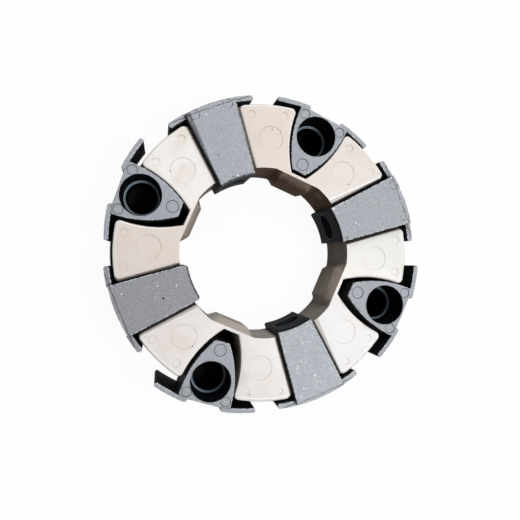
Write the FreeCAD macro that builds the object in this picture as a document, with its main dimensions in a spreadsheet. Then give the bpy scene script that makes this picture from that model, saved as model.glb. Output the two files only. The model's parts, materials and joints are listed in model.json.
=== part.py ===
"""Flexible shaft coupling ring: four cast inserts that take radial bolts, four cast inserts that take
axial bolts, and four moulded elastic elements between them. The pieces stand loose in one another, as a
set laid on a bench. Millimetres, +Z along the coupling's axis, origin on that axis at the lower face."""
import FreeCAD, Part
import Sketcher
import math
import os
import re

Vector = FreeCAD.Vector

SIZES = {
    # whole ring
    "ring_radius": 100.0,
    "axial_bolt_inset": 17.5,
    "element_inset": 5.0,
    # insert for a radial bolt: a wedge block with an ear on each side
    "radial_height": 47.0,
    "radial_inner_radius": 50.0,
    "radial_block_inset": 0.5,
    "radial_side_angle": 6.0,
    "radial_side_offset": 6.35,
    "radial_ear_angle": 16.6,
    "radial_ear_clearance": 2.1,
    "radial_ear_setback": 4.0,
    "radial_ear_reach": 0.6,
    "radial_ear_tip_round": 1.5,
    "radial_bolt_radius": 8.75,
    "radial_head_radius": 13.0,
    "radial_head_depth": 22.0,
    "radial_rim_width": 2.7,
    "radial_lip_width": 2.4,
    "radial_rim_depth": 0.5,
    "radial_mark_radius": 3.0,
    "radial_mark_inset": 4.4,
    "radial_mark_spacing": 22.0,
    # insert for an axial bolt: a rounded wedge with a hooked ear on each side
    "axial_height": 43.0,
    "axial_tip_width": 9.2,
    "axial_width": 34.0,
    "axial_seat_inset": 3.3,
    "axial_seat_width": 21.6,
    "axial_ear_thickness": 3.0,
    "axial_ear_angle": 19.6,
    "axial_ear_drop": 1.0,
    "axial_ear_shoulder_round": 2.0,
    "axial_ear_tip_round": 1.3,
    "axial_bolt_radius": 10.25,
    "axial_bolt_chamfer": 1.1,
    "axial_head_radius": 13.0,
    "axial_head_floor_radius": 12.3,
    "axial_head_depth": 20.0,
    "axial_tip_mark_radius": 3.8,
    "axial_tip_mark_inset": 5.5,
    "axial_ear_mark_radius": 3.1,
    "axial_ear_mark_reach": 9.8,
    "axial_ear_mark_spacing": 25.6,
    # elastic element: two blocks joined by a web round the tip of an axial insert
    "element_height": 43.0,
    "element_inner_radius": 54.5,
    "element_corner_round": 3.0,
    "element_edge_round": 1.5,
    "side_clearance": 0.0,
    "side_bevel_width": 2.5,
    "side_bevel_depth": 4.2,
    "flank_clearance": 0.9,
    "tip_clearance": 2.2,
    "web_half_angle": 15.96,
    "web_thickness": 1.9,
    "web_pad_width": 17.2,
    "web_pad_depth": 2.9,
    "web_pad_bevel": 7.4,
    "large_mark_radius": 7.75,
    "large_mark_circle_radius": 73.3,
    "large_mark_angle": 20.9,
    "small_mark_radius": 2.4,
    "small_mark_circle_radius": 88.6,
    "small_mark_inner_angle": 15.6,
    "small_mark_outer_angle": 29.4,
    # common to the castings
    "cast_edge_round": 0.7,
    "mark_depth": 0.3,
    # how each loose axial insert lies in its pocket: the room that it leaves at each flank by standing
    # outwards, and how far its outer side and its nose lie from the pocket's middle, along the ring
    "insert_1_room": 0.0,
    "insert_1_mouth_shift": -0.84,
    "insert_1_nose_shift": 0.79,
    "insert_2_room": 0.94,
    "insert_2_mouth_shift": -0.2,
    "insert_2_nose_shift": -3.19,
    "insert_3_room": 1.69,
    "insert_3_mouth_shift": 1.87,
    "insert_3_nose_shift": -2.54,
    "insert_4_room": 1.51,
    "insert_4_mouth_shift": 0.86,
    "insert_4_nose_shift": 0.99,
}

# Places that several pieces share, worked out from those sizes.
BOLT_CIRCLE = "(ring_radius - axial_bolt_inset)"
ELEMENT_OUTER = "(ring_radius - element_inset)"
BLOCK_OUTER = "(ring_radius - radial_block_inset)"
WEB_PLACE = "(element_inner_radius * cos(web_half_angle))"
POCKET_END = f"({WEB_PLACE} + web_thickness)"
TIP_REACH = f"({BOLT_CIRCLE} - {POCKET_END} - tip_clearance)"
EAR_INNER = "(ring_radius - axial_ear_thickness)"
FLANK_END = f"(sqrt({EAR_INNER} ^ 2 - (axial_width / 2) ^ 2) - {BOLT_CIRCLE})"
FLANK_SPREAD = "((axial_width - axial_tip_width) / 2)"
FLANK_RUN = f"({FLANK_END} + {TIP_REACH})"
FLANK_CHORD = f"sqrt({FLANK_RUN} ^ 2 + {FLANK_SPREAD} ^ 2)"
# The curve of a flank ends parallel to the insert's centre line at the ring's outer side.
FLANK_RADIUS = f"({FLANK_CHORD} ^ 2 / (2 * {FLANK_SPREAD}))"

# Radial inserts lie on the row's axes and axial inserts midway between them.
COUNT = 4
STEP_ANGLE = 360.0 / COUNT
# Castings whose ejector marks face up; the others were laid the other way up.
RADIAL_MARKS_UP = (1, 2)

doc = FreeCAD.newDocument("shaft_coupling")
sheet = doc.addObject("Spreadsheet::Sheet", "sizes")
for row, (name, value) in enumerate(SIZES.items(), 1):
    sheet.set(f"A{row}", name)
    sheet.set(f"B{row}", str(value))
    sheet.setAlias(f"B{row}", name)
doc.recompute()

NAME_PATTERN = re.compile(r"\b(" + "|".join(SIZES) + r")\b")


def formula(text):
    """Expression in which each name of the sheet is written in full."""
    return NAME_PATTERN.sub(r"sizes.\1", text)


def number(text):
    """Present value of a formula, used as the first guess that a sketch starts from."""
    value = sheet.evalExpression(formula(text))
    return float(getattr(value, "Value", value))


def polar(radius, angle):
    """Formulas of a point at a radius and an angle about the sketch's origin."""
    return f"({radius}) * cos({angle})", f"({radius}) * sin({angle})"


def mirrored(corners):
    """Corners of the upper half, then their mirror images in reverse, so that the outline closes.
    A side's bend is kept by the corner that it leaves, so it moves to the other end of the side."""
    lower = []
    for place in range(len(corners) - 1, -1, -1):
        x, y, _ = corners[place]
        bend = corners[place - 1][2] if place > 0 else None
        lower.append((x, f"-({y})", bend))
    return corners + lower


def origin_plane(body, role):
    """One of the body's own three origin planes."""
    return next(plane for plane in body.Origin.OriginFeatures if plane.Role == role)


def new_sketch(body, name, role="XY_Plane", lift="0"):
    """Sketch on an origin plane of the body, lifted along that plane's normal by a formula."""
    sketch = body.newObject("Sketcher::SketchObject", f"{body.Name}_{name}")
    sketch.AttachmentSupport = [(origin_plane(body, role), "")]
    sketch.MapMode = "FlatFace"
    sketch.setExpression("AttachmentOffset.Base.z", formula(lift))
    return sketch


def hold_point(sketch, geometry, end, x, y):
    """Binds one end of a line or arc to two formulas."""
    for kind, text in (("DistanceX", x), ("DistanceY", y)):
        place = sketch.addConstraint(Sketcher.Constraint(kind, -1, 1, geometry, end, number(text)))
        sketch.setExpression(f"Constraints[{place}]", formula(text))


def arc_between(start, end, radius, turn):
    """Arc from start to end. A turn of 1 runs anticlockwise round its centre, -1 clockwise."""
    chord = end - start
    rise = math.sqrt(radius ** 2 - (chord.Length / 2) ** 2)
    across = Vector(-chord.y, chord.x, 0) / chord.Length
    centre = (start + end) / 2 + across * rise * turn
    first, last = (start, end) if turn > 0 else (end, start)
    angles = [math.atan2(p.y - centre.y, p.x - centre.x) for p in (first, last)]
    circle = Part.Circle(centre, Vector(0, 0, 1), radius)
    return Part.ArcOfCircle(circle, angles[0], angles[1])


def draw_outline(sketch, corners):
    """Closed outline through corners. Each corner is an x and a y formula and the bend of the side that
    leaves it: None for a straight side, else a radius formula and the arc's turn."""
    points = [Vector(number(x), number(y), 0) for x, y, _ in corners]
    sides = []
    for place, (x, y, bend) in enumerate(corners):
        start, end = points[place], points[(place + 1) % len(points)]
        if bend is None:
            index = sketch.addGeometry(Part.LineSegment(start, end), False)
            ends = (1, 2)
        else:
            radius, turn = bend
            index = sketch.addGeometry(arc_between(start, end, number(radius), turn), False)
            ends = (1, 2) if turn > 0 else (2, 1)
            bound = sketch.addConstraint(Sketcher.Constraint("Radius", index, number(radius)))
            sketch.setExpression(f"Constraints[{bound}]", formula(radius))
        hold_point(sketch, index, ends[0], x, y)
        sides.append((index, ends))
    for (index, ends), (following, next_ends) in zip(sides, sides[1:] + sides[:1]):
        sketch.addConstraint(Sketcher.Constraint("Coincident", index, ends[1], following, next_ends[0]))
    return sketch


def draw_circle(sketch, x, y, radius):
    """Circle about a point, with its size and place bound to formulas."""
    circle = Part.Circle(Vector(number(x), number(y), 0), Vector(0, 0, 1), number(radius))
    index = sketch.addGeometry(circle, False)
    bound = sketch.addConstraint(Sketcher.Constraint("Radius", index, number(radius)))
    sketch.setExpression(f"Constraints[{bound}]", formula(radius))
    hold_point(sketch, index, 3, x, y)


def pad(body, name, sketch, length):
    """Raises a sketch upwards by a formula."""
    feature = body.newObject("PartDesign::Pad", f"{body.Name}_{name}")
    feature.Profile = sketch
    feature.setExpression("Length", formula(length))
    return feature


def pocket(body, name, sketch, depth, downwards=True):
    """Cuts a sketch into the body by a formula, from above unless told otherwise."""
    feature = body.newObject("PartDesign::Pocket", f"{body.Name}_{name}")
    feature.Profile = sketch
    feature.Reversed = not downwards
    feature.setExpression("Length", formula(depth))
    return feature


def groove(body, name, sketch, axis):
    """Turns a sketch about one of its own axes to cut a bore."""
    feature = body.newObject("PartDesign::Groove", f"{body.Name}_{name}")
    feature.Profile = sketch
    feature.ReferenceAxis = (sketch, [axis])
    feature.Angle = 360.0
    return feature


def round_edges(body, name, base, chosen, radius):
    """Rounds the edges of the base feature that the test picks out."""
    doc.recompute()
    names = [f"Edge{place}" for place, edge in enumerate(base.Shape.Edges, 1) if chosen(edge)]
    feature = body.newObject("PartDesign::Fillet", f"{body.Name}_{name}")
    feature.Base = (base, names)
    feature.setExpression("Radius", formula(radius))
    return feature


NEAR = 0.01


def upright_at(*places):
    """Test for upright edges that stand at one of the given points, each an x and a y formula."""
    points = [(number(x), number(y)) for x, y in places]

    def chosen(edge):
        first, last = edge.Vertexes[0].Point, edge.Vertexes[-1].Point
        if math.hypot(first.x - last.x, first.y - last.y) > NEAR:
            return False
        return any(math.hypot(first.x - x, first.y - y) < NEAR for x, y in points)
    return chosen


def level_at(*levels, keep=lambda edge: True):
    """Test for edges that lie wholly at one of the given heights, and that a further test keeps."""
    heights = [number(level) for level in levels]

    def chosen(edge):
        box = edge.BoundBox
        flat = any(abs(box.ZMin - height) < NEAR and abs(box.ZMax - height) < NEAR for height in heights)
        return flat and keep(edge)
    return chosen


def place_body(body, x, y, turn):
    """Moves a finished piece to its place in the ring, by formulas."""
    body.setExpression("Placement.Base.x", formula(x))
    body.setExpression("Placement.Base.y", formula(y))
    body.setExpression("Placement.Rotation.Angle", formula(turn))


def new_body(label):
    """Body that becomes one node."""
    body = doc.addObject("PartDesign::Body", label)
    body.Label = label
    return body


# The side of a radial insert is a plane that the ring axis misses by radial_side_offset.
def side_angle_at(radius, gap="0"):
    """Angle from the insert's own axis to its side plane, or to a plane a gap further out, seen from
    the ring axis at a radius."""
    return f"radial_side_angle * 1 deg + asin((radial_side_offset + {gap}) / ({radius}))"


def radial_insert(number_in_ring):
    """Cast wedge block with a stepped radial bore and an ear along each outer edge."""
    body = new_body(f"radial_insert_{number_in_ring}")

    # One curved strip makes both ears. It is cut back between them, where the block is raised over it.
    ear_inner = f"({ELEMENT_OUTER} + radial_ear_clearance)"
    ear_outer = "(ring_radius + radial_ear_reach)"
    tip = "radial_ear_angle * 1 deg"
    beyond = "ring_radius + radial_rim_width"
    strip = [(*polar(ear_outer, tip), None), (*polar(ear_inner, tip), (ear_inner, -1))]
    strip += [(*polar(ear_inner, f"-{tip}"), None), (*polar(ear_outer, f"-{tip}"), (ear_outer, 1))]
    ear_sketch = draw_outline(new_sketch(body, "ear_outline", lift="radial_ear_setback"), strip)
    last = pad(body, "ears", ear_sketch, "radial_height - 2 * radial_ear_setback")
    ends = [(x, f"{sign} * ({y})") for sign in (1, -1)
            for x, y in (polar(ear_inner, tip), polar(ear_outer, tip))]
    last = round_edges(body, "ear_tips", last, upright_at(*ends), "radial_ear_tip_round")
    ear_levels = level_at("radial_ear_setback", "radial_height - radial_ear_setback")
    last = round_edges(body, "softened_ears", last, ear_levels, "cast_edge_round")

    def at_side(radius, gap):
        return polar(radius, side_angle_at(radius, gap))
    middle = [(*at_side(f"({BLOCK_OUTER} - radial_rim_width / 2)", "-cast_edge_round"), None),
              (*at_side(f"({beyond})", "-cast_edge_round"), None)]
    middle_sketch = draw_outline(new_sketch(body, "ear_middle", lift="radial_height"), mirrored(middle))
    last = pocket(body, "parted_ears", middle_sketch, "radial_height")

    start = "(radial_inner_radius - radial_head_radius)"
    start_y = f"{start} * tan(radial_side_angle) + radial_side_offset / cos(radial_side_angle)"
    block = [(start, start_y, None), (*at_side(BLOCK_OUTER, "0"), (BLOCK_OUTER, -1))]
    block_sketch = draw_outline(new_sketch(body, "block_outline"), mirrored(block))
    last = pad(body, "block", block_sketch, "radial_height")
    last = round_edges(body, "softened_block", last, level_at("radial_height", "0"), "cast_edge_round")

    # The seat for the hub is turned about the ring's axis, and its edges are broken.
    seat = new_sketch(body, "seat_profile", "XZ_Plane")
    mouth = "radial_inner_radius + 2 * cast_edge_round"
    draw_outline(seat, [("0", "-cast_edge_round", None), (mouth, "-cast_edge_round", None),
                        ("radial_inner_radius", "cast_edge_round", None),
                        ("radial_inner_radius", "radial_height - cast_edge_round", None),
                        (mouth, "radial_height + cast_edge_round", None),
                        ("0", "radial_height + cast_edge_round", None)])
    last = groove(body, "seat", seat, "V_Axis")

    # Low strip along the outer edge of both faces, where the mould parted. It is wider on the marked face.
    face_up = number_in_ring in RADIAL_MARKS_UP
    widths = ("radial_rim_width", "radial_lip_width")
    past_side = "ring_radius / 2"
    for face, lift, downwards in (("upper", "radial_height", True), ("lower", "0", False)):
        strip_start = f"{BLOCK_OUTER} - {widths[0] if downwards == face_up else widths[1]}"
        strip = [(strip_start, f"-{past_side}", None), (beyond, f"-{past_side}", None),
                 (beyond, past_side, None), (strip_start, past_side, None)]
        sketch = draw_outline(new_sketch(body, f"{face}_strip", lift=lift), strip)
        last = pocket(body, f"{face}_step", sketch, "radial_rim_depth", downwards)

    # Bolt hole from the inner face, widened from the outer face for the bolt's head.
    middle = "radial_height / 2"
    floor = "ring_radius - radial_head_depth"
    past_rim = "ring_radius + radial_head_depth"
    bore = new_sketch(body, "bore_profile", "XZ_Plane")
    bore.setExpression("AttachmentOffset.Base.y", formula(middle))
    draw_outline(bore, [("0", "0", None), (past_rim, "0", None), (past_rim, "radial_head_radius", None),
                        (floor, "radial_head_radius", None),
                        (floor, "radial_bolt_radius", None), ("0", "radial_bolt_radius", None)])
    last = groove(body, "bore", bore, "H_Axis")

    # Round marks that the ejector pins left on one face.
    marks = new_sketch(body, "ejector_marks", lift="radial_height" if face_up else "0")
    for sign in (1, -1):
        draw_circle(marks, "ring_radius - radial_mark_inset",
                    f"{sign} * radial_mark_spacing / 2", "radial_mark_radius")
    pocket(body, "ejector_pins", marks, "mark_depth", face_up)
    place_body(body, "0", "0", f"{STEP_ANGLE * (number_in_ring - 1)} * 1 deg")
    return body


def axial_insert(number_in_ring):
    """Cast rounded wedge with a stepped axial bore and two hooked ears. Its own origin is the bore."""
    body = new_body(f"axial_insert_{number_in_ring}")
    ear_inner = EAR_INNER

    def on_ring(radius, y):
        return f"sqrt(({radius}) ^ 2 - ({y}) ^ 2) - {BOLT_CIRCLE}"

    # One hooked strip makes both ears; the wedge is raised over its middle.
    flank_end = "axial_width / 2"
    seat_reach = "axial_bolt_inset - axial_seat_inset"
    seat_corner = "axial_seat_width / 2"
    tip = "axial_ear_angle * 1 deg"
    outer_tip = polar("ring_radius", tip)
    inner_tip = polar(ear_inner, tip)
    root = f"{flank_end} - axial_ear_thickness / 2"
    buried = f"{seat_reach} - 2 * axial_ear_thickness"
    shoulder = (on_ring("ring_radius", seat_corner), seat_corner)
    tips = [(f"{x} - {BOLT_CIRCLE}", y) for x, y in (outer_tip, inner_tip)]
    strip = [(seat_reach, seat_corner, None),
             (*shoulder, ("ring_radius", 1)),
             (*tips[0], None),
             (*tips[1], (ear_inner, -1)),
             (on_ring(ear_inner, root), root, None),
             (buried, root, None)]
    ear_sketch = draw_outline(new_sketch(body, "ear_outline", lift="axial_ear_drop"), mirrored(strip))
    last = pad(body, "ears", ear_sketch, "axial_height - 2 * axial_ear_drop")
    both_shoulders = [(shoulder[0], f"{sign} * {shoulder[1]}") for sign in (1, -1)]
    last = round_edges(body, "ear_shoulders", last, upright_at(*both_shoulders), "axial_ear_shoulder_round")
    both_tips = [(x, f"{sign} * {y}") for sign in (1, -1) for x, y in tips]
    last = round_edges(body, "ear_tips", last, upright_at(*both_tips), "axial_ear_tip_round")
    ear_levels = level_at("axial_ear_drop", "axial_height - axial_ear_drop")
    last = round_edges(body, "softened_ears", last, ear_levels, "cast_edge_round")

    wedge = [(seat_reach, seat_corner, None),
             (FLANK_END, flank_end, (FLANK_RADIUS, 1)),
             (f"-{TIP_REACH}", "axial_tip_width / 2", None)]
    wedge_sketch = draw_outline(new_sketch(body, "wedge_outline"), mirrored(wedge))
    last = pad(body, "wedge", wedge_sketch, "axial_height")
    nose = [(f"-{TIP_REACH}", f"{sign} * axial_tip_width / 2") for sign in (1, -1)]
    last = round_edges(body, "wedge_nose", last, upright_at(*nose), "cast_edge_round")
    last = round_edges(body, "softened_wedge", last, level_at("axial_height", "0"), "cast_edge_round")

    # Through hole for the bolt, and a tapered recess for its head with a chamfered shoulder.
    floor = "axial_height - axial_head_depth"
    below = "-axial_head_depth"
    above = "axial_height + axial_head_depth"
    bore = new_sketch(body, "bore_profile", "XZ_Plane")
    draw_outline(bore, [("0", below, None), ("axial_bolt_radius", below, None),
                        ("axial_bolt_radius", f"{floor} - axial_bolt_chamfer", None),
                        ("axial_bolt_radius + axial_bolt_chamfer", floor, None),
                        ("axial_head_floor_radius", floor, None),
                        ("axial_head_radius", "axial_height", None),
                        ("axial_head_radius", above, None), ("0", above, None)])
    last = groove(body, "bore", bore, "V_Axis")

    marks = new_sketch(body, "ejector_marks", lift="axial_height")
    draw_circle(marks, f"axial_tip_mark_inset - {TIP_REACH}", "0", "axial_tip_mark_radius")
    for sign in (1, -1):
        draw_circle(marks, "axial_ear_mark_reach", f"{sign} * axial_ear_mark_spacing / 2",
                    "axial_ear_mark_radius")
    pocket(body, "ejector_pins", marks, "mark_depth")

    angle = STEP_ANGLE * (number_in_ring - 0.5)
    own = f"insert_{number_in_ring}"
    reach = f"({BOLT_CIRCLE} + {own}_room * {FLANK_CHORD} / {FLANK_SPREAD})"
    lean = f"({own}_mouth_shift - {own}_nose_shift) / {FLANK_RUN}"
    shift = f"({own}_mouth_shift - {lean} * {FLANK_END})"
    place_body(body, f"{reach} * cos({angle}) - {shift} * sin({angle})",
               f"{reach} * sin({angle}) + {shift} * cos({angle})",
               f"{angle} deg + asin({lean})")
    return body


def elastic_element(number_in_ring):
    """Moulded saddle: two blocks joined by a web, with a pocket that an axial insert stands in."""
    body = new_body(f"elastic_element_{number_in_ring}")
    half_step = f"{STEP_ANGLE / 2} deg"

    def side_corner(radius):
        return polar(radius, f"{half_step} - ({side_angle_at(radius, 'side_clearance')})")

    inner_side = side_corner("element_inner_radius")
    outer_side = side_corner(ELEMENT_OUTER)
    mouth_y = "axial_width / 2 + flank_clearance"
    mouth_x = f"sqrt({ELEMENT_OUTER} ^ 2 - ({mouth_y}) ^ 2)"
    web_y = "element_inner_radius * sin(web_half_angle)"
    upper = [(WEB_PLACE, web_y, ("element_inner_radius", 1)),
             (*inner_side, None),
             (*outer_side, (ELEMENT_OUTER, -1)),
             (mouth_x, mouth_y, (f"{FLANK_RADIUS} + flank_clearance", 1)),
             (POCKET_END, "axial_tip_width / 2", None)]
    # The outline runs up one block, round the pocket and down the other block.
    outline = draw_outline(new_sketch(body, "outline"), mirrored(upper))
    last = pad(body, "blocks", outline, "element_height")

    # Both sides lean away from the radial inserts towards the ring's two faces.
    side_x = "radial_side_offset + side_clearance"
    inside = f"{side_x} + side_bevel_width"
    outside = f"{side_x} - side_bevel_width"
    for side, sign in (("left", 1), ("right", -1)):
        bevel = new_sketch(body, f"{side}_bevel", "XZ_Plane")
        bevel.AttachmentOffset = FreeCAD.Placement(Vector(), FreeCAD.Rotation(Vector(0, 1, 0), 90))
        turn = f"90 deg + {sign} * ({half_step} - radial_side_angle * 1 deg)"
        bevel.setExpression("AttachmentOffset.Rotation.Angle", formula(turn))
        for face, inwards in (("0", 1), ("element_height", -1)):
            deep = f"{face} + {inwards} * side_bevel_depth"
            beyond = f"{face} - {inwards} * side_bevel_depth"
            draw_outline(bevel, [(f"{-sign} * ({side_x})", deep, None),
                                 (f"{-sign} * ({inside})", face, None),
                                 (f"{-sign} * ({inside})", beyond, None),
                                 (f"{-sign} * ({outside})", beyond, None),
                                 (f"{-sign} * ({outside})", deep, None)])
        last = pocket(body, f"{side}_bevel_cut", bevel, "ring_radius", False)

    # Corners of the outer side, which follow the bevels.
    outer_limit = number(ELEMENT_OUTER) - NEAR

    def outer_corner(edge):
        climbs = edge.BoundBox.ZMax - edge.BoundBox.ZMin > NEAR
        return climbs and all(math.hypot(point.X, point.Y) > outer_limit for point in edge.Vertexes)
    last = round_edges(body, "outer_corners", last, outer_corner, "element_corner_round")

    # Edges of both faces are rounded, except along the thin web's inner side.
    inner_limit = number("element_inner_radius") + NEAR

    def away_from_bore(edge):
        return all(math.hypot(point.X, point.Y) > inner_limit for point in edge.Vertexes)
    last = round_edges(body, "rounded_faces", last,
                       level_at("0", "element_height", keep=away_from_bore), "element_edge_round")

    # Pad on the web's inner face, bevelled towards both faces of the ring.
    sections = []
    for name, lift, depth in (("foot", "0", "0"), ("lower", "web_pad_bevel", "web_pad_depth"),
                              ("upper", "element_height - web_pad_bevel", "web_pad_depth"),
                              ("head", "element_height", "0")):
        corners = [(f"{WEB_PLACE} + web_thickness / 2", web_y, None), (WEB_PLACE, web_y, None),
                   (f"{WEB_PLACE} - {depth}", "web_pad_width / 2", None)]
        sections.append(draw_outline(new_sketch(body, f"web_{name}", lift=lift), mirrored(corners)))
    web = body.newObject("PartDesign::AdditiveLoft", f"{body.Name}_web_pad")
    web.Profile = sections[0]
    web.Sections = sections[1:]
    web.Ruled = True

    marks = new_sketch(body, "mould_marks", lift="element_height")
    for sign in (1, -1):
        for circle, angle, radius in (
                ("large_mark_circle_radius", "large_mark_angle", "large_mark_radius"),
                ("small_mark_circle_radius", "small_mark_inner_angle", "small_mark_radius"),
                ("small_mark_circle_radius", "small_mark_outer_angle", "small_mark_radius")):
            draw_circle(marks, *polar(circle, f"{sign} * {angle} * 1 deg"), radius)
    pocket(body, "mould_pins", marks, "mark_depth")
    place_body(body, "0", "0", f"{STEP_ANGLE * (number_in_ring - 0.5)} * 1 deg")
    return body


def finish(bodies):
    """Stops on any failed object or unsound solid, then writes one file for each piece."""
    doc.recompute()
    for item in doc.Objects:
        if "Invalid" in item.State or "Error" in item.State:
            raise RuntimeError(f"{item.Name} failed: {item.State}")
    os.makedirs("parts", exist_ok=True)
    for body in bodies:
        shape = body.Shape
        if shape.isNull() or not shape.isValid() or len(shape.Solids) != 1:
            raise RuntimeError(f"{body.Label} is not one sound solid")
        shape.exportStep(f"parts/{body.Label}.step")
        print(f"{body.Label}: {shape.Volume / 1000:.1f} cm3, {len(shape.Faces)} faces")


pieces = []
for ring_place in range(1, COUNT + 1):
    pieces.append(radial_insert(ring_place))
    pieces.append(axial_insert(ring_place))
    pieces.append(elastic_element(ring_place))
finish(pieces)
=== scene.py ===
# %% [markdown]
# # A flexible shaft coupling on a white bench
# The coupling is a loose ring of twelve pieces. Four cast inserts take screws that point at the shaft,
# four cast inserts take screws along the shaft, and four cream elastic saddles sit between them. The
# frame brings each piece as a mesh, at its real size and in its real place. What is left to do here is
# what a photograph shows besides the main shapes: small forms that differ from one moulding or casting
# to the next, surfaces, wear, dirt, light and a camera.

# %% Load the frame
import json
import math

import bmesh
import bpy
from mathutils import Matrix, Vector


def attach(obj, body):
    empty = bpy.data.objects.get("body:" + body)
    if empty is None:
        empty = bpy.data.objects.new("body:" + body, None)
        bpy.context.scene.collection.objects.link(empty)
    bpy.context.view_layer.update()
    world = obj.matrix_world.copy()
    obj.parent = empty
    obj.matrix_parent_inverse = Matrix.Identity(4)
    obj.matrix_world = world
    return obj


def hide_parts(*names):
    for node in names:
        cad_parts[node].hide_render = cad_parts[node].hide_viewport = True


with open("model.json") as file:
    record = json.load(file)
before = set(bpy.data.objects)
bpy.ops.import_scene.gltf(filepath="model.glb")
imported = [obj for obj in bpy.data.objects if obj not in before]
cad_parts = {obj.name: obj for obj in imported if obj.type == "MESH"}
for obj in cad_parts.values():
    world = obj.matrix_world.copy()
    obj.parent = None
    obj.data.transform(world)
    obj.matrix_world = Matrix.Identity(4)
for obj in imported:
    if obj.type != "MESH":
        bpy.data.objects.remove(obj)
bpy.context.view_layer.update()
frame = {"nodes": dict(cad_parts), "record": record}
nodes = frame["nodes"]
MM = 0.001
mounts = {mount["name"]: mount for mount in frame["record"]["mounts"]}
print("pieces:", ", ".join(sorted(nodes)))

# %% [markdown]
# ## Expressions for shaders
# A shader is a graph of small nodes, and sums written as nodes are hard to read. This class wraps one
# output socket, so that `1 - mask * 0.4` in Python adds the Math nodes that work it out. Everything
# else goes through one method, `node`, which sets a node up and then feeds its sockets.

# %% A socket that takes part in sums
class Value:
    """One output of a shader node, which can be added, multiplied and compared."""

    def __init__(self, tree, socket):
        self.tree = tree
        self.socket = socket

    def node(self, kind, settings, inputs, output=0):
        """Adds a node, sets it up, feeds its sockets with values or links, and returns one output."""
        made = self.tree.nodes.new(kind)
        for name, setting in settings.items():
            if name == "stops":
                ramp = made.color_ramp
                while len(ramp.elements) < len(setting):
                    ramp.elements.new(1.0)
                for element, (position, colour) in zip(ramp.elements, setting):
                    element.position = position
                    element.color = colour
            else:
                setattr(made, name, setting)
        for name, value in inputs.items():
            if isinstance(value, Value):
                self.tree.links.new(value.socket, made.inputs[name])
            else:
                made.inputs[name].default_value = value
        return Value(self.tree, made.outputs[output])

    def math(self, operation, first, second=0.0):
        return self.node("ShaderNodeMath", {"operation": operation}, {0: first, 1: second})

    def __add__(self, other):
        return self.math("ADD", self, other)

    def __sub__(self, other):
        return self.math("SUBTRACT", self, other)

    def __rsub__(self, other):
        return self.math("SUBTRACT", other, self)

    def __mul__(self, other):
        return self.math("MULTIPLY", self, other)

    __radd__ = __add__
    __rmul__ = __mul__

    def __abs__(self):
        return self.math("ABSOLUTE", self)

    def smaller(self, other):
        return self.math("MINIMUM", self, other)

    def larger(self, other):
        return self.math("MAXIMUM", self, other)

    def rise(self, low, high):
        """0 below low, 1 above high, and a smooth rise between them."""
        return self.node("ShaderNodeMapRange", {"interpolation_type": "SMOOTHSTEP"},
                         {"Value": self, "From Min": low, "From Max": high})

    def fall(self, low, high):
        """1 below low, 0 above high, and a smooth fall between them."""
        return 1 - self.rise(low, high)


# %% [markdown]
# Vectors have sums of their own. The same method adds a Vector Math node for them, and a second helper
# takes a vector apart.

# %% Sums of vectors
def vector_math(operation, first, second=(0, 0, 0), output=0):
    """Vector Math on a Value and a second Value or triple."""
    return first.node("ShaderNodeVectorMath", {"operation": operation}, {0: first, 1: second}, output)


def split(vector):
    """X, Y and Z of a vector as three Values."""
    holder = vector.node("ShaderNodeSeparateXYZ", {}, {0: vector}).socket.node
    return [Value(vector.tree, holder.outputs[axis]) for axis in "XYZ"]


# %% [markdown]
# Every finish starts in the same way: a new material, its Principled shader, and the piece's own
# coordinates and normals. Those coordinates are metres in the ring's frame. A texture in them stays on
# the piece when the camera moves, and no two pieces get the same grain.

# %% Start a finish
def new_finish(name):
    """Material, its Principled shader, and its object coordinates and normals as Values."""
    material = bpy.data.materials.new(name)
    material.use_nodes = True
    tree = material.node_tree
    shader = tree.nodes["Principled BSDF"]
    coordinates = tree.nodes.new("ShaderNodeTexCoord")
    place = Value(tree, coordinates.outputs["Object"])
    normal = Value(tree, coordinates.outputs["Normal"])
    return material, shader, place, normal


def feed(shader, **inputs):
    """Links or sets sockets of the Principled shader, named with underscores for spaces."""
    for name, value in inputs.items():
        socket = shader.inputs[name.replace("_", " ")]
        if isinstance(value, Value):
            value.tree.links.new(value.socket, socket)
        else:
            socket.default_value = value


# %% Noise, colours and bumps
def noise(place, size, detail=2.0, roughness=0.5, offset=(0.0, 0.0, 0.0)):
    """Cloudy noise from 0 to 1, whose patches are about as wide as size, in metres."""
    moved = vector_math("ADD", place, offset)
    return place.node("ShaderNodeTexNoise", {}, {"Vector": moved, "Scale": 1.0 / size,
                                                 "Detail": detail, "Roughness": roughness})


def tint(factor, first, second):
    """First colour where the factor is 0, second where it is 1."""
    return factor.node("ShaderNodeMix", {"data_type": "RGBA"}, {0: factor, 6: first, 7: second}, 2)


def bump(height, distance):
    """Normal of a surface whose height runs from 0 to 1 over a distance in metres."""
    return height.node("ShaderNodeBump", {}, {"Height": height, "Distance": distance, "Strength": 1.0})


def srgb(red, green, blue):
    """Colour as a screen shows it, from 0 to 255, in the linear form that shaders use."""
    linear = [((c / 255 + 0.055) / 1.055) ** 2.4 if c > 10 else c / 255 / 12.92 for c in (red, green, blue)]
    return (*linear, 1.0)


def shade(colour, share):
    """A colour made darker by a share of its light."""
    return (*[part * share for part in colour[:3]], 1.0)


# %% [markdown]
# ## Where each piece lies
# Marks, bores and dark bands belong to a piece, so they are given in its own coordinates: X points
# away from the ring's axis and Y runs along the ring. Radial inserts and saddles are measured from the
# ring's axis. An axial insert is measured from its own bore, because it stands loose in its pocket, a
# few degrees askew.

# %% A frame for each piece
# Turn of each axial insert in its pocket, in degrees.
INSERT_TURNS = {1: -2.4, 2: 4.4, 3: 6.5, 4: -0.2}


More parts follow.
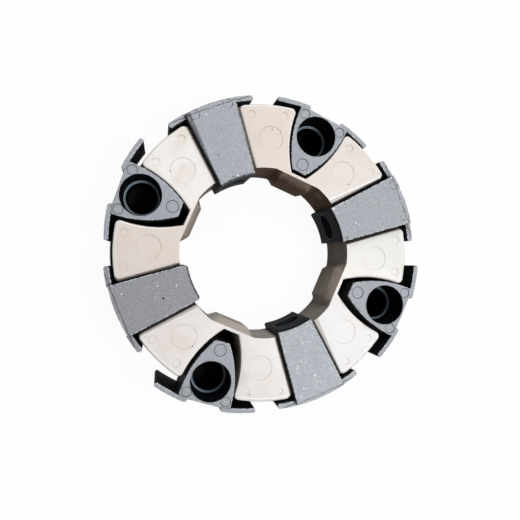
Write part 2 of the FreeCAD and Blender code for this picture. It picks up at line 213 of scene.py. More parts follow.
def piece_frame(name):
    """Origin in metres and angle in degrees of a piece's own coordinates."""
    kind, number = name.rsplit("_", 1)
    number = int(number)
    if kind == "radial_insert":
        return (0.0, 0.0), 90.0 * (number - 1)
    if kind == "elastic_element":
        return (0.0, 0.0), 90.0 * (number - 0.5)
    bore = mounts[f"axial_bolt_{number}"]["pos_m"]
    return (bore[0], bore[1]), 90.0 * (number - 0.5) + INSERT_TURNS[number]


def own_coordinates(place, name):
    """The piece's own coordinates as one vector, level with the bench, and its X, Y and height."""
    origin, angle = piece_frame(name)
    local = place.node("ShaderNodeMapping", {"vector_type": "TEXTURE"},
                       {"Vector": place, "Location": (*origin, 0.0),
                        "Rotation": (0.0, 0.0, math.radians(angle))})
    return vector_math("MULTIPLY", local, (1, 1, 0)), *split(local)


for name in sorted(nodes):
    origin, angle = piece_frame(name)
    print(f"{name}: origin {origin[0] / MM:.1f}, {origin[1] / MM:.1f} mm, turned {angle:.1f} degrees")

# %% [markdown]
# The frame brings meshes, but not the sizes they were drawn with. Masks and carving need a few of them.
# A radial insert's outline is two straight sides, each a little off the ring's axis and turned a few
# degrees, and two arcs: the seat on the hub, and the outside. The saddles' sides run along the same lines.

# %% Sizes that the masks and the carving share
OUTER_RADIUS = 99.5 * MM
SEAT_RADIUS = 50.0 * MM
SIDE_ANGLE = math.radians(6.0)
SIDE_OFFSET = 6.35 * MM
RADIAL_MIDDLE = 23.5 * MM
LOW_HEIGHT = 43.0 * MM      # of saddles and axial inserts
BORE_RADIUS = 8.75 * MM
RECESS_RADIUS = 13.0 * MM
WAYS = (1, -1)              # the two sides of a piece, first the one further round the ring
print("outside diameter in mm:", 2 * OUTER_RADIUS / MM)

# %% [markdown]
# ## Marks on a face
# Round marks show on every piece. Ejector pins left them when they pushed the piece out of its mould,
# and dirt sits in the fine step round each. The step itself is in the mesh. The line of dirt is a mask:
# the distance to the mark's centre, less its radius, is near 0 only on the circle.

# %% Masks for circles and spots
def reach_from(level, point):
    """Distance in metres from a point, given in millimetres, in the piece's own coordinates."""
    return vector_math("DISTANCE", level, (point[0] * MM, point[1] * MM, 0.0), "Value")


def circle_line(level, point, radius, width=0.32):
    """1 on a thin circle and 0 away from it. Sizes are in millimetres."""
    return abs(reach_from(level, point) - radius * MM).fall(0.35 * width * MM, width * MM)


def largest(masks):
    """One mask that shows wherever any of several does."""
    whole = masks[0]
    for mask in masks[1:]:
        whole = whole.larger(mask)
    return whole


def spots(level, points):
    """1 inside small spots with soft rims, each given as a point and a radius in millimetres."""
    return largest([reach_from(level, point).fall(0.6 * radius * MM, 1.2 * radius * MM)
                    for point, radius in points])


# %% [markdown]
# ## Cast aluminium
# The inserts are die castings. Blasting left their flat faces light and finely grained. It reached the
# outer walls too, and these are painted a middle grey as shade. The walls between the pieces and the
# holes are dark from the mould and from grease, and painted darker still as shade. So the colour follows
# the normal: where a face looks up or down it is light, elsewhere darker, and the rounded edges between
# carry a painted highlight in places. A texture painted by hand could do this too, but a rule on normals
# needs no unwrapping.

# %% Colours of the castings
# Bright knocks and flecks, and also painted highlights on edges and glints.
RUBBED_AND_HIGHLIGHT = srgb(228, 231, 235)
# Painted shade on the walls, in two tones.
SHADED_CAST_WALL = srgb(44, 47, 51)
PALE_SHADED_CAST_WALL = srgb(64, 67, 71)
# Painted deep shade in holes and hollows, and also the colour of pits.
DEEP_SHADE_AND_PITS = srgb(12, 14, 18)
GRIME = srgb(40, 41, 45)
RADIAL_MACHINED = srgb(52, 60, 68)
AXIAL_MACHINED = srgb(152, 170, 182)
CAST_BUMP = 0.06 * MM


# %% Faces, knocks and walls
def blasted_face(blasted, grain, cloud):
    """Colour of a clean face."""
    colour = tint(grain.rise(0.36, 0.66), shade(blasted, 0.68), blasted)
    return tint(cloud.rise(0.45, 0.75) * 0.3, colour, shade(blasted, 0.7))


def knocks(place, patches, wear_and_light):
    """Mask of bright specks and short scratches, most of them in patches."""
    specks = noise(place, 1.1 * MM, detail=1.0, offset=(0.1, 0.2, 0.0)).rise(0.70, 0.76)
    wander = noise(place, 3.2 * MM, detail=0.5, offset=(0.5, 0.7, 0.0))
    broken = noise(place, 2.4 * MM, offset=(0.9, 0.3, 0.0)).rise(0.50, 0.56)
    scratches = abs(wander - 0.5).fall(0.008, 0.022) * broken
    return (specks.larger(scratches * wear_and_light["scratches"]) * patches).larger(specks * wear_and_light["specks"])


def shaded_casting_wall(place, normal, blasted, grain, cloud):
    """Colour of a wall, in painted shade. The blasting reached the walls that look away from the ring's
    axis, and these get a lighter shade.
    """
    shaded_hidden_walls = tint(cloud.rise(0.4, 0.75), SHADED_CAST_WALL, PALE_SHADED_CAST_WALL)
    outer = tint(grain.rise(0.36, 0.66), shade(blasted, 0.4), shade(blasted, 0.6))
    away = vector_math("NORMALIZE", vector_math("MULTIPLY", place, (1, 1, 0)))
    outward = vector_math("DOT_PRODUCT", away, normal, "Value")
    return tint(outward.rise(0.3, 0.6), shaded_hidden_walls, outer)


# %% The whole casting
def blasted_casting(name, masks, wear_and_light, machined_colour):
    """Finish of one casting. Masks is a function of its own coordinates. It returns masks of its parts
    painted in deep shade, its machined parts, the lines on its faces, the edges that get nicked and its
    dark band."""
    material, shader, place, normal = new_finish(name)
    level, x, y, z = own_coordinates(place, name)
    deep_shade, machined, lines, near_edge, dark_band = masks(level, x, y, z)
    lift = abs(split(normal)[2])
    face = lift.rise(0.45, 0.9)
    blasted = srgb(*wear_and_light["colour"])
    dark = shade(blasted, 0.22)
    grain = noise(place, 0.55 * MM, detail=3.0, roughness=0.7)
    cloud = noise(place, 8.0 * MM, detail=3.0, roughness=0.6)
    patches = noise(place, 12.0 * MM, detail=1.0, offset=(0.3, 0.1, 0.0)).rise(0.42, 0.6)
    chipped = noise(place, 1.8 * MM, detail=2.0, offset=(0.2, 0.9, 0.4))
    flecks = noise(place, 0.9 * MM, detail=2.0, offset=(0.8, 0.2, 0.6)).rise(0.54, 0.62)
    at_edge = near_edge.rise(0.6, 0.9)

    # Faces: knocked about, darkened in a band, nicked along the edges, and dirty in the lines.
    colour = blasted_face(blasted, grain, cloud)
    colour = tint(knocks(place, patches, wear_and_light) * face * wear_and_light["brightness"], colour, RUBBED_AND_HIGHLIGHT)
    colour = tint(dark_band * (0.9 - 0.5 * chipped.rise(0.5, 0.7)), colour, dark)
    colour = tint(at_edge * chipped.rise(0.5, 0.6) * wear_and_light["nicks"], colour, dark)
    colour = tint(near_edge * flecks * patches * wear_and_light["rim"], colour, RUBBED_AND_HIGHLIGHT)
    colour = tint(lines * face, colour, GRIME)
    # Pits are dark spots, and glints are painted highlights, both at given points.
    for shown, points in ((DEEP_SHADE_AND_PITS, wear_and_light["pits"]), (RUBBED_AND_HIGHLIGHT, wear_and_light["glints"])):
        if points:
            colour = tint(spots(level, points) * face, colour, shown)

    # Walls in painted shade, then a painted highlight on the rounded edges between wall and face, then the
    # holes and hollows in painted deep shade.
    colour = tint(face, shaded_casting_wall(place, normal, blasted, grain, cloud), colour)
    # A painted highlight on the rounded edges between wall and face, broken in places.
    edge_highlight = lift.rise(0.25, 0.6) * lift.fall(0.9, 0.995) * chipped.fall(0.44, 0.54)
    colour = tint(edge_highlight * wear_and_light["edge_highlight"] * (1 - dark_band), colour, RUBBED_AND_HIGHLIGHT)
    colour = tint(deep_shade, colour, DEEP_SHADE_AND_PITS)
    colour = tint(machined, colour, machined_colour)
    feed(shader, Base_Color=colour, Metallic=0.25 * face, Roughness=(0.6 + 0.12 * grain) - 0.25 * machined,
         Normal=bump(grain + at_edge * chipped * 2.0, CAST_BUMP), Specular_IOR_Level=0.04)
    print(name, "has", len(material.node_tree.nodes), "shader nodes")
    return material


# %% [markdown]
# ## Radial inserts
# No two of these castings are worn alike: one has a dark band along a side, one is covered in short
# scratches, and only two show their pins' marks, because the others lie the other way up. They differ
# in painted light too: in the deep shade painted on the hub seat, and in the highlights painted on
# their edges and glints. So each has a row of its own in a table. Shares run from 0 to 1. Pits and
# glints are points in millimetres, each with its radius.

# %% Wear and painted light of the four radial inserts
RADIAL_WEAR_AND_LIGHT = {
    1: {"colour": (181, 185, 191), "seat": 1.0, "marked": True, "dark_band": 0.0, "scratches": 0.25,
        "specks": 0.25, "brightness": 0.9, "nicks": 0.45, "rim": 1.0, "edge_highlight": 1.0,
        "pits": [((53.0, -10.0), 0.6), ((60.0, 10.5), 0.4)],
        "glints": [((51.4, 10.8), 0.9), ((52.6, 7.0), 0.5), ((62.0, -3.0), 0.6), ((64.0, -5.0), 0.4)]},
    2: {"colour": (185, 188, 195), "seat": 0.5, "marked": True, "dark_band": 1.0, "scratches": 0.0,
        "specks": 0.1, "brightness": 0.6, "nicks": 0.6, "rim": 0.3, "edge_highlight": 0.35,
        "pits": [((67.6, 6.3), 0.4), ((52.0, 2.2), 0.5)],
        "glints": [((51.6, -0.6), 0.7), ((93.6, 4.3), 0.5)]},
    3: {"colour": (165, 167, 173), "seat": 0.7, "marked": False, "dark_band": 0.0, "scratches": 0.0,
        "specks": 0.2, "brightness": 0.6, "nicks": 0.25, "rim": 0.5, "edge_highlight": 0.9,
        "pits": [((70.0, 2.6), 0.7), ((69.3, 9.8), 0.35)],
        "glints": [((92.0, -9.1), 0.5), ((70.5, -5.8), 0.5), ((59.7, -1.9), 0.5)]},
    4: {"colour": (191, 196, 202), "seat": 1.0, "marked": False, "dark_band": 0.0, "scratches": 1.0,
        "specks": 0.5, "brightness": 1.0, "nicks": 0.2, "rim": 0.9, "edge_highlight": 0.9,
        "pits": [],
        "glints": [((84.3, 0.9), 0.7), ((89.5, -9.2), 0.6), ((62.0, 1.0), 0.5)]},
}
print("radial inserts with pins' marks:",
      [number for number, wear_and_light in RADIAL_WEAR_AND_LIGHT.items() if wear_and_light["marked"]])

# %% [markdown]
# A radial insert's bore opens in the dark wall at the hub's side, and its head recess at the outside.
# Along the outer edge of its face a low strip ends in a dirty line. Where the pins' marks are, this
# line wanders.

# %% Bore, seat and lines
RECESS_START = 77.0 * MM
RADIAL_MARKS = [((95.6, side), 3.0) for side in (-11.0, 11.0)]


def from_sides(x, y):
    """Distances from an insert's two sides, with x and y as Values."""
    return [x * math.sin(SIDE_ANGLE) - way * y * math.cos(SIDE_ANGLE) + SIDE_OFFSET for way in WAYS]


def radial_bore(level, x, y, z):
    """Mask of the bore and its head recess, and mask of the dull ring round its mouth."""
    across = level.node("ShaderNodeCombineXYZ", {}, {"Y": y, "Z": z - RADIAL_MIDDLE})
    from_bore = vector_math("LENGTH", across, output="Value")
    recess = from_bore.fall(RECESS_RADIUS + 0.05 * MM, RECESS_RADIUS + 0.2 * MM)
    recess = recess * x.rise(RECESS_START, RECESS_START + 0.3 * MM)
    ring = abs(from_bore - (BORE_RADIUS + 0.25 * MM)).fall(0.2 * MM, 0.5 * MM) * 0.5
    return from_bore.fall(BORE_RADIUS, BORE_RADIUS + 0.1 * MM).larger(recess), ring


def radial_lines(level, x, marked):
    """Mask of the dirty line at the outer strip, and of the pins' marks where they show."""
    ragged = 1.0 * MM if marked else 0.1 * MM
    strip_start = 96.6 * MM if marked else 97.1 * MM
    wobble = (noise(level, 3.0 * MM, offset=(0.0, 0.4, 0.0)) - 0.5) * ragged * 2.0
    lines = abs(x - strip_start + wobble).fall(0.1 * MM, 0.4 * MM) * noise(level, 5.0 * MM).rise(0.3, 0.45)
    if marked:
        marks = largest([circle_line(level, point, size, 0.35) for point, size in RADIAL_MARKS])
        lines = lines.larger(marks * noise(level, 2.5 * MM).rise(0.42, 0.56))
    return lines


# %% Finish of a radial insert
def radial_finish(number):
    wear_and_light = RADIAL_WEAR_AND_LIGHT[number]

    def masks(level, x, y, z):
        radius = reach_from(level, (0.0, 0.0))
        # The hub seat's wall is painted in deep shade, by a share of each insert's own.
        hub_seat = radius.fall(SEAT_RADIUS + 0.6 * MM, SEAT_RADIUS + 1.6 * MM)
        bore, ring = radial_bore(level, x, y, z)
        lines = radial_lines(level, x, wear_and_light["marked"])
        # Gaps to the outline count on the two faces, and not on the ears below them.
        sides = from_sides(x, y)
        gap = sides[0].smaller(sides[1]).smaller(radius - SEAT_RADIUS).smaller(OUTER_RADIUS - radius)
        on_faces = abs(z - RADIAL_MIDDLE).rise(20.5 * MM, 21.5 * MM)
        nicked = gap.fall(0.2 * MM, 2.2 * MM) * on_faces
        # A darker band along one side of the face, wider towards the outside.
        band = (sides[0] - (x - 52.0 * MM) * 0.07).fall(-0.3 * MM, 0.4 * MM) * wear_and_light["dark_band"]
        return hub_seat * wear_and_light["seat"], bore.larger(ring * hub_seat), lines * 0.8, nicked, band * on_faces

    return blasted_casting(f"radial_insert_{number}", masks, wear_and_light, RADIAL_MACHINED)


# %% [markdown]
# ## Axial inserts
# An axial insert shows its bore from above: dark walls, painted in deep shade, and a machined shoulder
# that catches the light. Behind its ears the casting is painted in the same deep shade as its hole.
# These four are worn alike.

# %% Finish of an axial insert
AXIAL_WEAR_AND_LIGHT = {"colour": (180, 184, 191), "scratches": 0.0, "specks": 0.08, "brightness": 0.5,
              "nicks": 0.3, "rim": 0.0, "edge_highlight": 0.7, "pits": [], "glints": []}
AXIAL_MARKS = (((-20.5, 0.0), 3.8), ((9.8, 12.8), 3.1), ((9.8, -12.8), 3.1))
SHOULDER_RADIUS = 10.9 * MM


def axial_finish(number):

    def masks(level, x, y, z):
        radius = reach_from(level, (0.0, 0.0))
        # The bore and the casting behind the ears are painted in deep shade.
        bore = radius.fall(RECESS_RADIUS + 0.05 * MM, RECESS_RADIUS + 0.25 * MM)
        bore = bore * z.fall(LOW_HEIGHT - 0.4 * MM, LOW_HEIGHT - 0.1 * MM)
        ears = abs(y).rise(17.5 * MM, 18.5 * MM) * z.fall(LOW_HEIGHT - 2.0 * MM, LOW_HEIGHT - 1.6 * MM)
        shoulder = abs(radius - SHOULDER_RADIUS).fall(0.5 * MM, 0.8 * MM)
        shoulder = shoulder * z.rise(21.5 * MM, 21.8 * MM) * z.fall(23.1 * MM, 23.4 * MM)
        lines = largest([circle_line(level, point, size) for point, size in AXIAL_MARKS])
        rim = (radius - RECESS_RADIUS).fall(0.2 * MM, 1.5 * MM)
        no_dark_band = radius * 0.0
        return bore.larger(ears * 0.8), shoulder * 0.9, lines * 0.8, rim, no_dark_band

    return blasted_casting(f"axial_insert_{number}", masks, AXIAL_WEAR_AND_LIGHT, AXIAL_MACHINED)


# %% [markdown]
# ## Cream elastomer
# The saddles are moulded from a hard cream elastomer. It is satin on the moulded faces, a little pinker
# or yellower in places, and stained in thin brown circles round the marks. Its inner walls, next to the
# shaft, are duller and browner, from grease and from painted shade. Its bevels are painted in shade, the
# joints next to the radial inserts in painted shadow, and its rounded edges and a line near the rim in
# painted highlights. Subsurface light would blur the shape for no gain in a material this dense, so it
# stays out.

# %% Colours of the elastomer
CREAM_PINK = srgb(228, 208, 198)
CREAM_YELLOW = srgb(232, 221, 196)
STAIN = srgb(178, 156, 136)
# Grease, also used as painted shade on inner walls and for dark specks.
GREASE_AND_SHADE = srgb(84, 50, 14)
# Painted highlight on edges and lines.
CREAM_HIGHLIGHT = srgb(253, 252, 250)
CREAM_WALL = srgb(212, 203, 195)
CREAM_WALL_DARK = srgb(188, 176, 166)
# Painted shade on bevels.
CREAM_BEVEL_SHADE = srgb(206, 192, 181)
# Painted shadow in the joint next to a radial insert.
JOINT_SHADOW = srgb(70, 62, 56)
# Radius in the ring, angle from the saddle's middle and own radius of the pins' marks.
SADDLE_MARKS = ((73.3, 20.9, 7.75), (88.6, 15.6, 2.4), (88.6, 29.4, 2.4))

# %% [markdown]
# The table has, for each saddle, the colours of its two blocks, which hold painted light as well as
# their tone, the share of grease and painted shade on its inner wall and of the painted highlight line
# at its rim, its dark specks, and the widths of the bevel next to each radial insert, at the inner and
# at the outer end. Of two blocks or bevels, the one further round the ring comes first. Lengths are in
# millimetres.

# %% Looks and bevels of the four saddles
SADDLES = {
    1: {"blocks": ((235, 223, 214), (236, 228, 222)), "grease": 0.9, "rim": 0.0,
        "specks": [(74.0, 27.7), (63.3, -32.9)], "bevels": ((2.0, 2.0), (5.0, 2.8))},
    2: {"blocks": ((232, 221, 213), (253, 249, 246)), "grease": 0.5, "rim": 0.3,
        "specks": [(75.2, -22.3)], "bevels": ((2.0, 2.0), (2.0, 2.0))},
    3: {"blocks": ((232, 228, 225), (240, 233, 230)), "grease": 0.05, "rim": 1.0,
        "specks": [(71.9, -19.1), (86.6, 26.7)], "bevels": ((2.2, 2.0), (4.6, 3.9))},
    4: {"blocks": ((230, 229, 224), (222, 221, 222)), "grease": 0.3, "rim": 0.6,
        "specks": [(84.0, 12.0)], "bevels": ((3.2, 2.4), (5.2, 2.9))},
}
FRAME_BEVEL = 2.5


def wide_bevels(number):
    """Side and widths of each bevel that is wider than the one in the frame's mesh."""
    return [(way, widths) for way, widths in zip(WAYS, SADDLES[number]["bevels"])
            if max(widths) > FRAME_BEVEL]


print("wide bevels:", {number: len(wide_bevels(number)) for number in SADDLES})

# %% [markdown]
# A wide bevel starts at a straight line that draws nearer to the saddle's side towards the outside.
# Shader and carving both need the distance to it. Plain sums work for Python's numbers and for Values
# alike, so one function serves both.

# %% The bevel next to a radial insert
SADDLE_SIDE = math.radians(45.0) - SIDE_ANGLE
BEVEL_START = 54.5 * MM
BEVEL_RUN = 37.4 * MM


def from_side(x, y, way):
    """Distance of a point from a saddle's side, with x and y as numbers or Values."""
    return x * math.sin(SADDLE_SIDE) - y * (way * math.cos(SADDLE_SIDE)) - SIDE_OFFSET


def bevel_gap(x, y, way, widths):
    """How far a point lies beyond the line where the bevel starts, with x and y as numbers or Values."""
    narrowing = (widths[0] - widths[1]) * MM / BEVEL_RUN
    along = x * math.cos(SADDLE_SIDE) + y * (way * math.sin(SADDLE_SIDE))
    return widths[0] * MM - (along - BEVEL_START) * narrowing - from_side(x, y, way)


# %% The moulded face and its marks
def cream_face(place, y, blocks, cloud, fine):
    """Two blocks whose creams differ in tone and in painted light, clouded with pink and yellow."""
    first, second = [srgb(*colour) for colour in blocks]
    colour = tint(y.rise(-12.0 * MM, 12.0 * MM), second, first)
    colour = tint(cloud.rise(0.45, 0.7) * 0.35, colour, CREAM_PINK)
    stained = noise(place, 12.0 * MM, detail=2.0, offset=(0.4, 0.6, 0.1)).rise(0.55, 0.75)
    colour = tint(stained * 0.4, colour, CREAM_YELLOW)
    return tint(fine.rise(0.62, 0.8) * 0.12, colour, STAIN)


def stained_circles(place, level):
    """Mask of thin circles round the marks, stronger in some places than in others."""
    lines = []
    for radius, angle, size in SADDLE_MARKS:
        out, aside = radius * math.cos(math.radians(angle)), radius * math.sin(math.radians(angle))
        lines += [circle_line(level, (out, way * aside), size) for way in WAYS]
    uneven = 0.3 + noise(place, 5.0 * MM, offset=(0.7, 0.1, 0.3)).rise(0.35, 0.7) * 0.7
    return largest(lines) * uneven * 0.5


# %% Walls and bevels
def cream_wall(place, cloud, inner, sloping, grease):
    """Colour of a wall. Bevels are painted in shade; the inner wall is browned by grease and painted shade,
    less so on the bevel.
    """
    wall = tint(cloud.rise(0.3, 0.7), CREAM_WALL, CREAM_WALL_DARK)
    wall = tint(sloping, wall, CREAM_BEVEL_SHADE)
    smeared = noise(place, 14.0 * MM, detail=3.0, offset=(0.2, 0.2, 0.2)).rise(0.05, 0.4)
    return tint(inner * smeared * (1 - 0.5 * sloping) * grease, wall, GREASE_AND_SHADE)


def painted_bevel_light(colour, number, x, y, lift, face):
    """Paints shade on the face beyond each wide bevel's line, a shadow in the joint, and a highlight on the
    line.
    """
    for way, widths in wide_bevels(number):
        gap = bevel_gap(x, y, way, widths)
        # A painted shadow in the joint next to the insert.
        joint_shadow = from_side(x, y, way).fall(1.3 * MM, 3.2 * MM) * lift.rise(0.1, 0.3)
        # The face beyond the bevel's line is painted in shade.
        colour = tint(gap.rise(0.0, 0.5 * MM) * face * 0.45, colour, CREAM_BEVEL_SHADE)
        colour = tint(joint_shadow * 0.9, colour, JOINT_SHADOW)
        # A painted highlight along the bevel's line.
        colour = tint(abs(gap).fall(0.25 * MM, 0.65 * MM) * face, colour, CREAM_HIGHLIGHT)
    return colour


# %% The whole saddle
PAD_WALL = 52.4 * MM
RIM_LINE = 93.0 * MM
CREAM_BUMP = 0.09 * MM


def cream_elastomer(number):
    name = f"elastic_element_{number}"
    saddle = SADDLES[number]
    material, shader, place, normal = new_finish(name)
    level, x, y, _ = own_coordinates(place, name)
    radius = reach_from(level, (0.0, 0.0))
    lift = abs(split(normal)[2])
    on_pad = x.fall(PAD_WALL - 0.2 * MM, PAD_WALL) * abs(y).fall(15.0 * MM, 15.3 * MM)
    face = lift.rise(0.55, 0.8) * (1 - on_pad)
    edge = lift.rise(0.66, 0.8) * lift.fall(0.93, 0.99)
    inner = radius.fall(57.0 * MM, 60.0 * MM)
    cloud = noise(place, 16.0 * MM, detail=3.0, roughness=0.55)
    fine = noise(place, 1.6 * MM, detail=2.0)
    highlight_breaks = noise(place, 9.0 * MM, detail=1.0, offset=(0.6, 0.2, 0.8)).rise(0.25, 0.5)

    colour = cream_face(place, y, saddle["blocks"], cloud, fine)
    colour = tint(stained_circles(place, level), colour, STAIN)
    colour = tint(spots(level, [(point, 0.45) for point in saddle["specks"]]), colour, GREASE_AND_SHADE)
    colour = tint(face, cream_wall(place, cloud, inner, lift.rise(0.3, 0.5), saddle["grease"]), colour)
    # A painted highlight on the rounded edges, broken in places.
    colour = tint(edge * highlight_breaks, colour, CREAM_HIGHLIGHT)
    colour = painted_bevel_light(colour, number, x, y, lift, face)
    # A painted highlight along a line near the rim.
    rim = abs(radius - RIM_LINE).fall(0.2 * MM, 0.55 * MM) * face * highlight_breaks
    colour = tint(rim * saddle["rim"], colour, CREAM_HIGHLIGHT)
    height = noise(place, 6.0 * MM, detail=2.0) + fine * 0.08
    feed(shader, Base_Color=colour, Roughness=(0.8 - 0.3 * face) - 0.2 * edge, Coat_Weight=face,
         Coat_Roughness=0.38, Specular_IOR_Level=0.15, Normal=bump(height, CREAM_BUMP))
    print(name, "has", len(material.node_tree.nodes), "shader nodes")
    return material


# %% [markdown]
# ## Copies that stand for the frame's pieces
# Some forms differ from one moulding or casting to the next, and the frame has none of these
# differences. A bump could fake the light on them, but not their outline. The frame's mesh must stay as
# it is, so each such piece is shown as a carved copy. The copy is made in the piece's own coordinates,
# where both sides of a piece can be carved with the same lines of code, and is then turned back.

# %% Open a copy, and show it
JOIN_WITHIN = 1e-6
SHARP_ANGLE = math.radians(28.0)


def open_copy(name):
    """A copy of a piece's mesh in the piece's own coordinates, and the turn that leads back."""
    turn = Matrix.Rotation(math.radians(piece_frame(name)[1]), 4, "Z")
    mesh = bmesh.new()
    mesh.from_mesh(nodes[name].data)
    mesh.transform(turn.inverted())
    bmesh.ops.remove_doubles(mesh, verts=mesh.verts[:], dist=JOIN_WITHIN)
    return mesh, turn


def shown_instead(mesh, turn, name, label):
    """Turns the carved mesh into a piece that stands for the frame's piece."""
    mesh.transform(turn)
    mesh.verts.index_update()
    carved = bpy.data.meshes.new(label)
    carved.from_pydata([vertex.co[:] for vertex in mesh.verts], [],
                       [[vertex.index for vertex in face.verts] for face in mesh.faces])
    mesh.free()
    carved.shade_smooth()
    carved.set_sharp_from_angle(angle=SHARP_ANGLE)
    piece = bpy.data.objects.new(carved.name, carved)
    bpy.context.scene.collection.objects.link(piece)
    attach(piece, "root")
    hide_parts(name)
    print(piece.name, "has", len(carved.polygons), "faces")
    return piece


# %% [markdown]
# ## Saddles as they were moulded
# On three saddles a bevel widens towards the shaft. The mesh is cut along the line where the bevel
# starts, and the points beyond the line are let down. Five cuts side by side make room for a rounded
# start. The pad on the inner wall stands out further than in the frame, so its points are moved out.

# %% Cut and lower a bevel
BEVEL_SLOPE = 0.35
BEVEL_ROUND = 0.6 * MM


def cut_along_bevel(mesh, way, widths):
    """Cuts the mesh where the bevel starts, in five lines, so that the start can be rounded."""
    corner = bevel_gap(0.0, 0.0, way, widths)
    across = Vector((bevel_gap(1.0, 0.0, way, widths) - corner,
                     bevel_gap(0.0, 1.0, way, widths) - corner, 0))
    for share in (-1.0, -0.5, 0.0, 0.5, 1.0):
        place = across * ((share * BEVEL_ROUND - corner) / across.length_squared)
        bmesh.ops.bisect_plane(mesh, geom=mesh.verts[:] + mesh.edges[:] + mesh.faces[:], dist=1e-7,
                               plane_co=place, plane_no=across)


def bevelled_height(point, way, widths):
    """Height of a point once the upper face slopes down beyond the line, with a rounded start."""
    gap = bevel_gap(point.x, point.y, way, widths)
    if gap < -BEVEL_ROUND:
        return point.z
    drop = gap if gap > BEVEL_ROUND else (gap + BEVEL_ROUND) ** 2 / (4 * BEVEL_ROUND)
    return min(point.z, LOW_HEIGHT - BEVEL_SLOPE * drop)


# %% Carve the saddles
PAD_REACH = 54.45 * MM
PAD_GROWTH = 0.42
PAD_SPREAD = 0.31


def carved_saddle(number):
    name = f"elastic_element_{number}"
    mesh, turn = open_copy(name)
    for way, widths in wide_bevels(number):
        cut_along_bevel(mesh, way, widths)
        for vertex in mesh.verts:
            vertex.co.z = bevelled_height(vertex.co, way, widths)
    for vertex in mesh.verts:
        depth = PAD_WALL - vertex.co.x
        if depth > 0 and math.hypot(vertex.co.x, vertex.co.y) < PAD_REACH:
            vertex.co.x -= depth * PAD_GROWTH
            vertex.co.y += math.copysign(depth * PAD_SPREAD, vertex.co.y)
    return shown_instead(mesh, turn, name, f"moulded_saddle_{number}")


saddles = {number: carved_saddle(number) for number in SADDLES}

# %% [markdown]
# ## Round corners next to the hub
# Where a radial insert's sides meet its seat, the corners are rounded, and on one insert far more than
# on the others. A Bevel modifier would need to be told which edges to round. Here the rule is on
# distances instead: a point nearer than the rounding's radius to both the side and the seat is moved
# onto the rounding. First the mesh is cut near the corner, so that there are points enough to move.

# %% Cut near a corner and round it
# The cut for 0 lies where the rounding starts, and the others lie between there and the corner.
CUT_ANGLES = [math.radians(angle) for angle in (0.0, 9.0, 18.0, 27.0, 36.0)]


def corner_of_seat(way):
    """Where a radial insert's side meets its seat, and the direction from that side inwards."""
    inward = Vector((math.sin(SIDE_ANGLE), -way * math.cos(SIDE_ANGLE), 0.0))
    along = Vector((math.cos(SIDE_ANGLE), way * math.sin(SIDE_ANGLE), 0.0))
    return along * math.sqrt(SEAT_RADIUS ** 2 - SIDE_OFFSET ** 2) - inward * SIDE_OFFSET, inward


def cut_near(mesh, corner, reach, direction, depth):
    """Cuts the faces near a corner across a direction, at a depth from the corner."""
    near = [vertex for vertex in mesh.verts if (vertex.co.xy - corner.xy).length < reach]
    faces = dict.fromkeys(face for vertex in near for face in vertex.link_faces)
    edges = dict.fromkeys(edge for face in faces for edge in face.edges)
    corners = dict.fromkeys(vertex for face in faces for vertex in face.verts)
    bmesh.ops.bisect_plane(mesh, geom=[*corners, *edges, *faces], dist=JOIN_WITHIN,
                           plane_co=corner + direction * depth, plane_no=direction)


def round_corner(mesh, way, size):
    """Rounds one upright corner of a radial insert's mesh to a radius in metres."""
    corner, inward = corner_of_seat(way)
    away = corner.normalized()
    for angle in CUT_ANGLES:
        for direction in (inward, away):
            cut_near(mesh, corner, 2.0 * size, direction, size * (1.0 - math.tan(angle)))
    # The two directions aren't quite square to each other, so both steps are corrected for their lean.
    lean = inward.dot(away)
    for vertex in mesh.verts:
        level = Vector((vertex.co.x, vertex.co.y, 0.0))
        short = Vector((size - (level - corner).dot(inward), size - (level.length - SEAT_RADIUS)))
        if min(short) > 0 and short.length > size:
            side, seat = short * (1.0 - size / short.length)
            vertex.co += inward * ((side - lean * seat) / (1 - lean ** 2))
            vertex.co += away * ((seat - lean * side) / (1 - lean ** 2))


# %% Round the corners of the castings
CORNER_ROUNDS = {1: 1.4 * MM, 2: 1.4 * MM, 3: 2.6 * MM, 4: 1.8 * MM}


def rounded_insert(number):
    name = f"radial_insert_{number}"
    mesh, turn = open_copy(name)
    for way in WAYS:
        round_corner(mesh, way, CORNER_ROUNDS[number])
    bmesh.ops.remove_doubles(mesh, verts=mesh.verts[:], dist=JOIN_WITHIN)
    return shown_instead(mesh, turn, name, f"rounded_insert_{number}")


inserts = {number: rounded_insert(number) for number in CORNER_ROUNDS}

# %% [markdown]
# ## Dressing the pieces
# A copy has no material yet, so its finish is appended. The axial inserts are the frame's own pieces,
# and their finish goes into the slots that they came with.

# %% Dress the pieces
for number in SADDLES:
    saddles[number].data.materials.append(cream_elastomer(number))
    inserts[number].data.materials.append(radial_finish(number))
    finish = axial_finish(number)
    for slot in nodes[f"axial_insert_{number}"].material_slots:
        slot.material = finish

# %% [markdown]
# ## Camera
# The photograph looks down on the ring from a little to one side, close enough for the far walls to
# show. The lens, place and turn come from fitting a plain pinhole camera to corners and circles.

# %% Camera
CAMERA_PLACE = (-62.96 * MM, 20.33 * MM, 389.18 * MM)
CAMERA_TURN = (-0.0824, -10.2241, -21.3488)
CAMERA_LENS = 38.25
SENSOR_WIDTH = 36.0
camera_data = bpy.data.cameras.new("camera")
camera_data.lens = CAMERA_LENS
camera_data.sensor_width = SENSOR_WIDTH
camera_data.clip_start = 10.0 * MM
camera = bpy.data.objects.new("camera", camera_data)
camera.location = CAMERA_PLACE
camera.rotation_euler = [math.radians(angle) for angle in CAMERA_TURN]
bpy.context.scene.collection.objects.link(camera)
bpy.context.scene.camera = camera
print("camera height in mm:", CAMERA_PLACE[2] / MM)

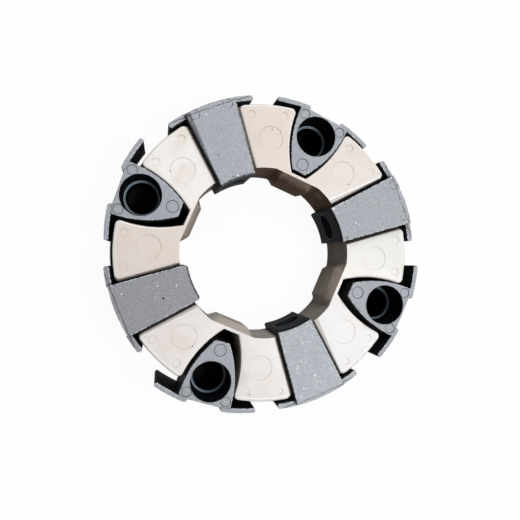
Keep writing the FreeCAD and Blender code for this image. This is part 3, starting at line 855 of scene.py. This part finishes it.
# %% [markdown]
# ## Bench
# The ring lies on something plain and white. A really white bench would throw light back up and wash
# out the dark walls, which the photograph doesn't show. So the bench is white for what looks at it, the
# camera and reflections, and grey for the light that it passes on. Its white is a glow, which knows no
# shadow, so under the ring it is switched off: down the bores the bench must look black.

# %% Bench
BENCH_HALF = 3.0
BENCH_GLOW = 0.95
BENCH_PASSED_ON = 0.10
# Under the ring the bench's grey is painted darker, as its shadow.
BENCH_SHADOW_UNDER_RING = 0.02


def seen_directly(tree):
    """1 for rays of the camera, of reflections and of glass, and 0 for scattered light."""
    rays = tree.nodes.new("ShaderNodeLightPath")
    kinds = ("Is Camera Ray", "Is Glossy Ray", "Is Transmission Ray")
    return largest([Value(tree, rays.outputs[kind]) for kind in kinds])


def bench_finish():
    material, shader, place, _ = new_finish("white_bench")
    tree = material.node_tree
    radius = reach_from(place, (0.0, 0.0))
    open_air = radius.fall(54.0 * MM, 54.5 * MM).larger(radius.rise(OUTER_RADIUS, OUTER_RADIUS + 1.0 * MM))
    seen = seen_directly(tree) * open_air
    levels = (BENCH_SHADOW_UNDER_RING, BENCH_PASSED_ON, 1.0)
    shadow_under_ring, passed_on, white = [(level, level, level, 1.0) for level in levels]
    colour = tint(seen, tint(open_air, shadow_under_ring, passed_on), white)
    feed(shader, Base_Color=colour, Roughness=0.9, Specular_IOR_Level=0.0)
    glow = tree.nodes.new("ShaderNodeEmission")
    mixed = seen.node("ShaderNodeMixShader", {}, {0: seen * BENCH_GLOW, 1: Value(tree, shader.outputs[0]),
                                                  2: Value(tree, glow.outputs[0])})
    tree.links.new(mixed.socket, tree.nodes["Material Output"].inputs["Surface"])
    return material


mesh = bpy.data.meshes.new("bench")
ends = (-BENCH_HALF, BENCH_HALF)
mesh.from_pydata([(x, y, 0) for y in ends for x in ends], [], [(0, 1, 3, 2)])
mesh.materials.append(bench_finish())
bench = bpy.data.objects.new("bench", mesh)
bpy.context.scene.collection.objects.link(bench)
print("bench is", 2 * BENCH_HALF, "m wide")

# %% [markdown]
# ## Light
# A lamp above the lower right of the picture is the main light: the satin saddles there reflect it and
# go nearly white. A weaker one above the top right lights the inner walls that face it. The world adds
# a little light from all round. Together they give about as much light as makes a colour render as it
# is written.

# %% Lamps
LAMP_AIM = Vector((0, 0, 0.03))
# Place and width in metres, and the share of full light that the lamp gives to a level face.
LAMPS = {"key_lamp": ((0.31, -0.33, 1.10), 0.30, 0.48), "fill_lamp": ((0.45, 0.75, 0.80), 0.60, 0.25)}

for name, (place, width, level) in LAMPS.items():
    data = bpy.data.lights.new(name, "AREA")
    data.size = width
    way = LAMP_AIM - Vector(place)
    slant = -way.normalized().z
    data.energy = level * math.pi ** 2 * way.length_squared / slant
    lamp = bpy.data.objects.new(name, data)
    lamp.location = place
    lamp.rotation_euler = way.to_track_quat("-Z", "Y").to_euler()
    bpy.context.scene.collection.objects.link(lamp)
    print(name, "has", round(data.energy, 2), "W")

# %% World
AMBIENT = 0.18
world = bpy.data.worlds.new("world")
world.use_nodes = True
background = world.node_tree.nodes["Background"]
background.inputs["Color"].default_value = (1, 1, 1, 1)
around = seen_directly(world.node_tree) * (1.0 - AMBIENT) + AMBIENT
world.node_tree.links.new(around.socket, background.inputs["Strength"])
bpy.context.scene.world = world
bpy.context.scene.view_settings.view_transform = "Standard"
print("share of light from all round:", AMBIENT)
